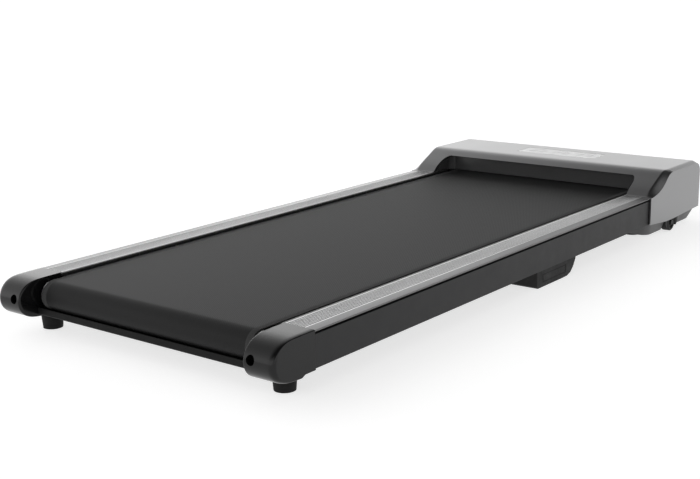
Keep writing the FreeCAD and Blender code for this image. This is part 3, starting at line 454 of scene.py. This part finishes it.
# ------------------------------------------ shading of the carried-over nodes
def smooth_tree(deg):
    """node tree: smooth everywhere, sharp where two faces meet above an angle"""
    t = bpy.data.node_groups.new("smooth_%d" % deg, "GeometryNodeTree")
    t.interface.new_socket("Geometry", in_out="INPUT", socket_type="NodeSocketGeometry")
    t.interface.new_socket("Geometry", in_out="OUTPUT", socket_type="NodeSocketGeometry")
    gi, go = t.nodes.new("NodeGroupInput"), t.nodes.new("NodeGroupOutput")
    a = t.nodes.new("GeometryNodeSetShadeSmooth")
    a.domain = "FACE"
    a.inputs["Shade Smooth"].default_value = True
    b = t.nodes.new("GeometryNodeSetShadeSmooth")
    b.domain = "EDGE"
    ang = t.nodes.new("GeometryNodeInputMeshEdgeAngle")
    cmp_ = t.nodes.new("FunctionNodeCompare")
    cmp_.data_type, cmp_.operation = "FLOAT", "LESS_EQUAL"
    cmp_.inputs[1].default_value = math.radians(deg)
    t.links.new(gi.outputs[0], a.inputs["Geometry"])
    t.links.new(a.outputs[0], b.inputs["Geometry"])
    t.links.new(ang.outputs["Unsigned Angle"], cmp_.inputs[0])
    t.links.new(cmp_.outputs[0], b.inputs["Shade Smooth"])
    t.links.new(b.outputs[0], go.inputs[0])
    return t


SMOOTH = smooth_tree(32)
BEVEL = {"end_cap": 0.0003, "side_skirt": 0.0005, "belt_guide": 0.0003, "rear_guard": 0.0004, "wheel_bracket": 0.0006,
         "mid_bumper": 0.0012, "rear_feet": 0.0012, "front_feet": 0.0010, "service_panel": 0.0004,
         "power_inlet": 0.0003, "switch_bezel": 0.0003, "power_rocker": 0.0004, "breaker_body": 0.0003,
         "breaker_button": 0.0004, "cross_member": 0.0008, "frame_rail": 0.0010, "deck_board": 0.0003,
         "tension_bolts": 0.0004, "case_screws": 0.0002, "display_window": 0.0002, "side_trim": 0.00012,
         "motor_clamps": 0.0004, "controller_tray": 0.0004, "drive_pulley": 0.0002}


# free-form shells whose own surface normals are kept as they come
EXACT = ("motor_hood",)


def dress(o):
    name = o["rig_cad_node"]
    o.data.materials.clear()
    o.data.materials.append(look_of(name))
    if name in EXACT:
        return
    at = o.data.attributes.get("custom_normal")
    if at is not None:
        o.data.attributes.remove(at)
    w = o.modifiers.new("weld", "WELD")
    w.merge_threshold = 0.000004
    k = max((k for k in BEVEL if name.startswith(k)), key=len, default=None)
    if k:
        b = o.modifiers.new("bevel", "BEVEL")
        b.width, b.segments, b.limit_method = BEVEL[k], 2, "ANGLE"
        b.angle_limit = math.radians(38)
        b.harden_normals = False
    g = o.modifiers.new("smooth", "NODES")
    g.node_group = SMOOTH
    wn = o.modifiers.new("weighted", "WEIGHTED_NORMAL")
    wn.mode, wn.weight, wn.keep_sharp = "FACE_AREA", 50, True


for node in NODES.values():
    dress(node)


# ------------------------------------------------------------- running belt
def link(name, verts, faces, body, mats, uvs=None, fmat=None):
    me = bpy.data.meshes.new(name)
    me.from_pydata(verts, [], faces)
    if uvs:
        uv = me.uv_layers.new(name="run")
        for loop in me.loops:
            uv.data[loop.index].uv = uvs[loop.vertex_index] if isinstance(uvs, list) else uvs(loop)
    for m in mats:
        me.materials.append(m)
    if fmat:
        me.polygons.foreach_set("material_index", fmat)
    me.polygons.foreach_set("use_smooth", [True] * len(me.polygons))
    me.update()
    o = bpy.data.objects.new(name, me)
    SCENE.collection.objects.link(o)
    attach(o, body)
    return o


def make_belt():
    lo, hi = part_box("running_belt")
    r_out = (hi.z - lo.z) / 2
    zc = (hi.z + lo.z) / 2
    y0, y1 = lo.y + r_out, hi.y - r_out
    t, half = 0.0016, (hi.x - lo.x) / 2
    rnd = 0.00055
    # section: (x, height above the inner face, kind) going round
    sec = []
    nx = 44

    def corner(cxx, cyy, a0, a1, n=4):
        for i in range(n + 1):
            a = math.radians(a0 + (a1 - a0) * i / n)
            sec.append((cxx + rnd * math.cos(a), cyy + rnd * math.sin(a), 2))
    for i in range(1, nx):
        x = -half + rnd + (2 * half - 2 * rnd) * i / nx
        sec.append((x, t, 0))
    corner(half - rnd, t - rnd, 90, 0)
    corner(half - rnd, rnd, 0, -90)
    for i in range(1, nx):
        x = half - rnd - (2 * half - 2 * rnd) * i / nx
        sec.append((x, 0.0, 1))
    corner(-half + rnd, rnd, 270, 180)
    corner(-half + rnd, t - rnd, 180, 90)
    # path stations: (y, z of the inner face, normal y, normal z, run length)
    ri = r_out - t
    st, run = [], 0.0
    L = y1 - y0
    n_top, n_arc = 180, 40
    for i in range(n_top):
        st.append((y0 + L * i / n_top, zc + ri, 0.0, 1.0, L * i / n_top))
    for i in range(n_arc):
        a = math.pi / 2 - math.pi * i / n_arc
        st.append((y1 + ri * math.cos(a), zc + ri * math.sin(a), math.cos(a), math.sin(a), L + r_out * math.pi * i / n_arc))
    for i in range(n_top):
        st.append((y1 - L * i / n_top, zc - ri, 0.0, -1.0, L + r_out * math.pi + L * i / n_top))
    for i in range(n_arc):
        a = -math.pi / 2 - math.pi * i / n_arc
        st.append((y0 + ri * math.cos(a), zc + ri * math.sin(a), math.cos(a), math.sin(a), 2 * L + r_out * math.pi + r_out * math.pi * i / n_arc))
    total = 2 * L + 2 * r_out * math.pi
    ns, nv = len(sec), len(st)
    verts = [(x, y + ny * h, z + nz * h) for (y, z, ny, nz, s) in st for (x, h, k) in sec]
    faces, kinds, uvl = [], [], []
    for i in range(nv):
        j = (i + 1) % nv
        si, sj = st[i][4], (st[j][4] if j else total)
        for a in range(ns):
            b = (a + 1) % ns
            faces.append((i * ns + a, i * ns + b, j * ns + b, j * ns + a))
            kinds.append(max(sec[a][2], sec[b][2]) if sec[a][2] != sec[b][2] else sec[a][2])
            uvl += [(sec[a][0], si), (sec[b][0], si), (sec[b][0], sj), (sec[a][0], sj)]
    me = bpy.data.meshes.new("belt_skin")
    me.from_pydata(verts, [], faces)
    uv = me.uv_layers.new(name="run")
    for k, c in enumerate(uvl):
        uv.data[k].uv = c
    for m in (MATS["belt"], belt_back(), belt_edge()):
        me.materials.append(m)
    me.polygons.foreach_set("material_index", kinds)
    me.polygons.foreach_set("use_smooth", [True] * len(me.polygons))
    me.update()
    o = bpy.data.objects.new("belt_skin", me)
    SCENE.collection.objects.link(o)
    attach(o, "treadmill_base")
    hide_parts("running_belt")
    return o


make_belt()


# --------------------------------------------------------- display markings
def quad_bars(rects, z, th):
    v, f = [], []
    for (x0, y0, x1, y1, sk) in rects:
        k = len(v)
        e = min(abs(x1 - x0), abs(y1 - y0)) * 0.30
        if abs(x1 - x0) > abs(y1 - y0):
            ring = [(x0, (y0 + y1) / 2), (x0 + e, y0), (x1 - e, y0), (x1, (y0 + y1) / 2), (x1 - e, y1), (x0 + e, y1)]
        else:
            ring = [((x0 + x1) / 2, y0), (x1, y0 + e), (x1, y1 - e), ((x0 + x1) / 2, y1), (x0, y1 - e), (x0, y0 + e)]
        ring = [(x + sk * (y - 0.560), y) for x, y in ring]
        n = len(ring)
        v += [(x, y, z) for x, y in ring] + [(x, y, z + th) for x, y in ring]
        f.append([k + n + i for i in range(n)])
        f.append([k + n - 1 - i for i in range(n)])
        for i in range(n):
            j = (i + 1) % n
            f.append([k + i, k + j, k + n + j, k + n + i])
    return v, f


def seven(cx, cy, w, h, t, on):
    """bars of one seven segment digit; on: a b c d e f g as 0 or 1"""
    x0, x1, y0, y1, ym = cx - w / 2, cx + w / 2, cy - h / 2, cy + h / 2, cy
    bars = [(x0 + t, y1 - t, x1 - t, y1), (x1 - t, ym + t / 2, x1, y1 - t / 2), (x1 - t, y0 + t / 2, x1, ym - t / 2),
            (x0 + t, y0, x1 - t, y0 + t), (x0, y0 + t / 2, x0 + t, ym - t / 2), (x0, ym + t / 2, x0 + t, y1 - t / 2),
            (x0 + t, ym - t / 2, x1 - t, ym + t / 2)]
    return [(*b, 0.10) for b, k in zip(bars, on) if k]


def make_display():
    lo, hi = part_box("display_window")
    z = hi.z - 0.00002
    cy = (lo.y + hi.y) / 2
    on = (1, 1, 1, 1, 1, 1, 0)
    rects = []
    for cx in (-0.062, -0.040, -0.010, 0.012, 0.044, 0.066):
        rects += seven(cx, cy, 0.0105, 0.0185, 0.0019, on)
    rects += [(-0.0005, cy - 0.0055, 0.0015, cy - 0.0035, 0), (-0.0005, cy + 0.0035, 0.0015, cy + 0.0055, 0)]
    for cx in (-0.051, 0.001, 0.055):
        rects.append((cx - 0.008, cy + 0.0165, cx + 0.008, cy + 0.0178, 0))
    v, f = quad_bars(rects, z, 0.00008)
    m = Mat("segment_print", (0.36, 0.363, 0.367), 0.5, spec=0.2)
    m.tint(m.noise(800.0), 0.9, 1.1)
    m.bump(m.noise(1500.0), 0.00001)
    o = link("display_segments", v, f, "treadmill_base", [m.m])
    o.data.polygons.foreach_set("use_smooth", [False] * len(o.data.polygons))
    # light diffuser sheet under the lens, with moulded edge
    x0, x1, y0, y1 = lo.x + 0.0065, hi.x - 0.0065, lo.y + 0.0065, hi.y - 0.0065
    zt = lo.z - 0.0007
    nx, ny = 40, 14
    vv, ff = [], []
    for j in range(ny + 1):
        for i in range(nx + 1):
            u, w = i / nx * 2 - 1, j / ny * 2 - 1
            d = max(abs(u) ** 14, abs(w) ** 8)
            vv.append((x0 + (x1 - x0) * i / nx, y0 + (y1 - y0) * j / ny, zt - 0.0006 * d))
    for j in range(ny):
        for i in range(nx):
            a = j * (nx + 1) + i
            ff.append((a, a + 1, a + nx + 2, a + nx + 1))
    d = Mat("diffuser_sheet", (0.80, 0.81, 0.82), 0.7)
    d.tint(d.noise(30.0), 0.96, 1.04)
    d.bump(d.noise(700.0), 0.00003)
    link("display_diffuser", vv, ff, "treadmill_base", [d.m])


make_display()


# ---------------------------------------------------------- floor and light
def make_floor():
    me = bpy.data.meshes.new("floor")
    s = 40.0
    me.from_pydata([(-s, -s, -0.0004), (s, -s, -0.0004), (s, s, -0.0004), (-s, s, -0.0004)], [], [(0, 1, 2, 3)])
    o = bpy.data.objects.new("floor", me)
    SCENE.collection.objects.link(o)
    m = Mat("pale_floor", (0.52, 0.52, 0.52), 0.9, spec=0.1)
    m.tint(m.noise(1.4, 4.0), 0.985, 1.015)
    m.bump(m.noise(90.0, 3.0), 0.0002)
    m.set("Emission Color", (1.0, 1.0, 1.0, 1.0))
    m.set("Emission Strength", 0.70)
    me.materials.append(m.m)


make_floor()


def make_world():
    """bright walls all round, dim ceiling, a large soft source high on the left"""
    w = bpy.data.worlds.new("studio")
    SCENE.world = w
    w.use_nodes = True
    t = w.node_tree
    bg = t.nodes["Background"]
    tc = t.nodes.new("ShaderNodeTexCoord")
    sep = t.nodes.new("ShaderNodeSeparateXYZ")
    t.links.new(tc.outputs["Generated"], sep.inputs[0])

    def ramp(pts):
        r = t.nodes.new("ShaderNodeValToRGB")
        t.links.new(sep.outputs["Z"], r.inputs["Fac"])
        els = r.color_ramp.elements
        els[0].position, els[0].color = pts[0][0], (pts[0][1],) * 3 + (1,)
        els[1].position, els[1].color = pts[-1][0], (pts[-1][1],) * 3 + (1,)
        for p, v in pts[1:-1]:
            e = els.new(p)
            e.color = (v, v, v, 1)
        return r.outputs["Color"]
    left = ramp([(0.0, 0.55), (0.10, 0.68), (0.30, 0.70), (0.45, 0.56), (0.62, 0.42), (0.76, 0.32), (0.84, 0.26), (0.92, 0.18), (1.0, 0.06)])
    right = ramp([(0.0, 0.34), (0.10, 0.37), (0.24, 0.30), (0.34, 0.12), (0.50, 0.04), (0.80, 0.02), (1.0, 0.02)])
    near = ramp([(0.0, 0.48), (0.10, 0.58), (0.30, 0.60), (0.45, 0.42), (0.62, 0.20), (0.80, 0.05), (1.0, 0.02)])

    def zone(axis, lo, hi):
        """0..1 going from one direction component to another"""
        n = t.nodes.new("ShaderNodeMapRange")
        n.interpolation_type = "SMOOTHSTEP"
        t.links.new(sep.outputs[axis], n.inputs["Value"])
        for k, v in (("From Min", lo), ("From Max", hi), ("To Min", 0.0), ("To Max", 1.0)):
            n.inputs[k].default_value = v
        return n.outputs["Result"]

    def blend(f, a, b):
        n = t.nodes.new("ShaderNodeMix")
        n.data_type = "RGBA"
        for x, y in ((f, n.inputs["Factor"]), (a, n.inputs[6]), (b, n.inputs[7])):
            t.links.new(x, y)
        return n.outputs[2]
    c = blend(zone("X", -0.10, -0.85), right, left)
    c = blend(zone("Y", -0.62, -0.92), c, near)
    c = blend(zone("X", 0.75, 0.97), c, near)
    c = blend(zone("Y", 0.84, 0.96), c, near)
    t.links.new(c, bg.inputs["Color"])
    bg.inputs["Strength"].default_value = 2.80


make_world()


def sun(name, aim, strength, angle):
    """soft light that feeds the matt parts of every surface and the floor"""
    d = bpy.data.lights.new(name, "SUN")
    d.energy, d.angle = strength, math.radians(angle)
    o = bpy.data.objects.new(name, d)
    SCENE.collection.objects.link(o)
    o.rotation_mode = "QUATERNION"
    o.rotation_quaternion = Vector(aim).to_track_quat("-Z", "Y")
    o.visible_glossy = False
    return o


sun("overhead", (0.20, 0.35, -1.0), 0.6, 120)
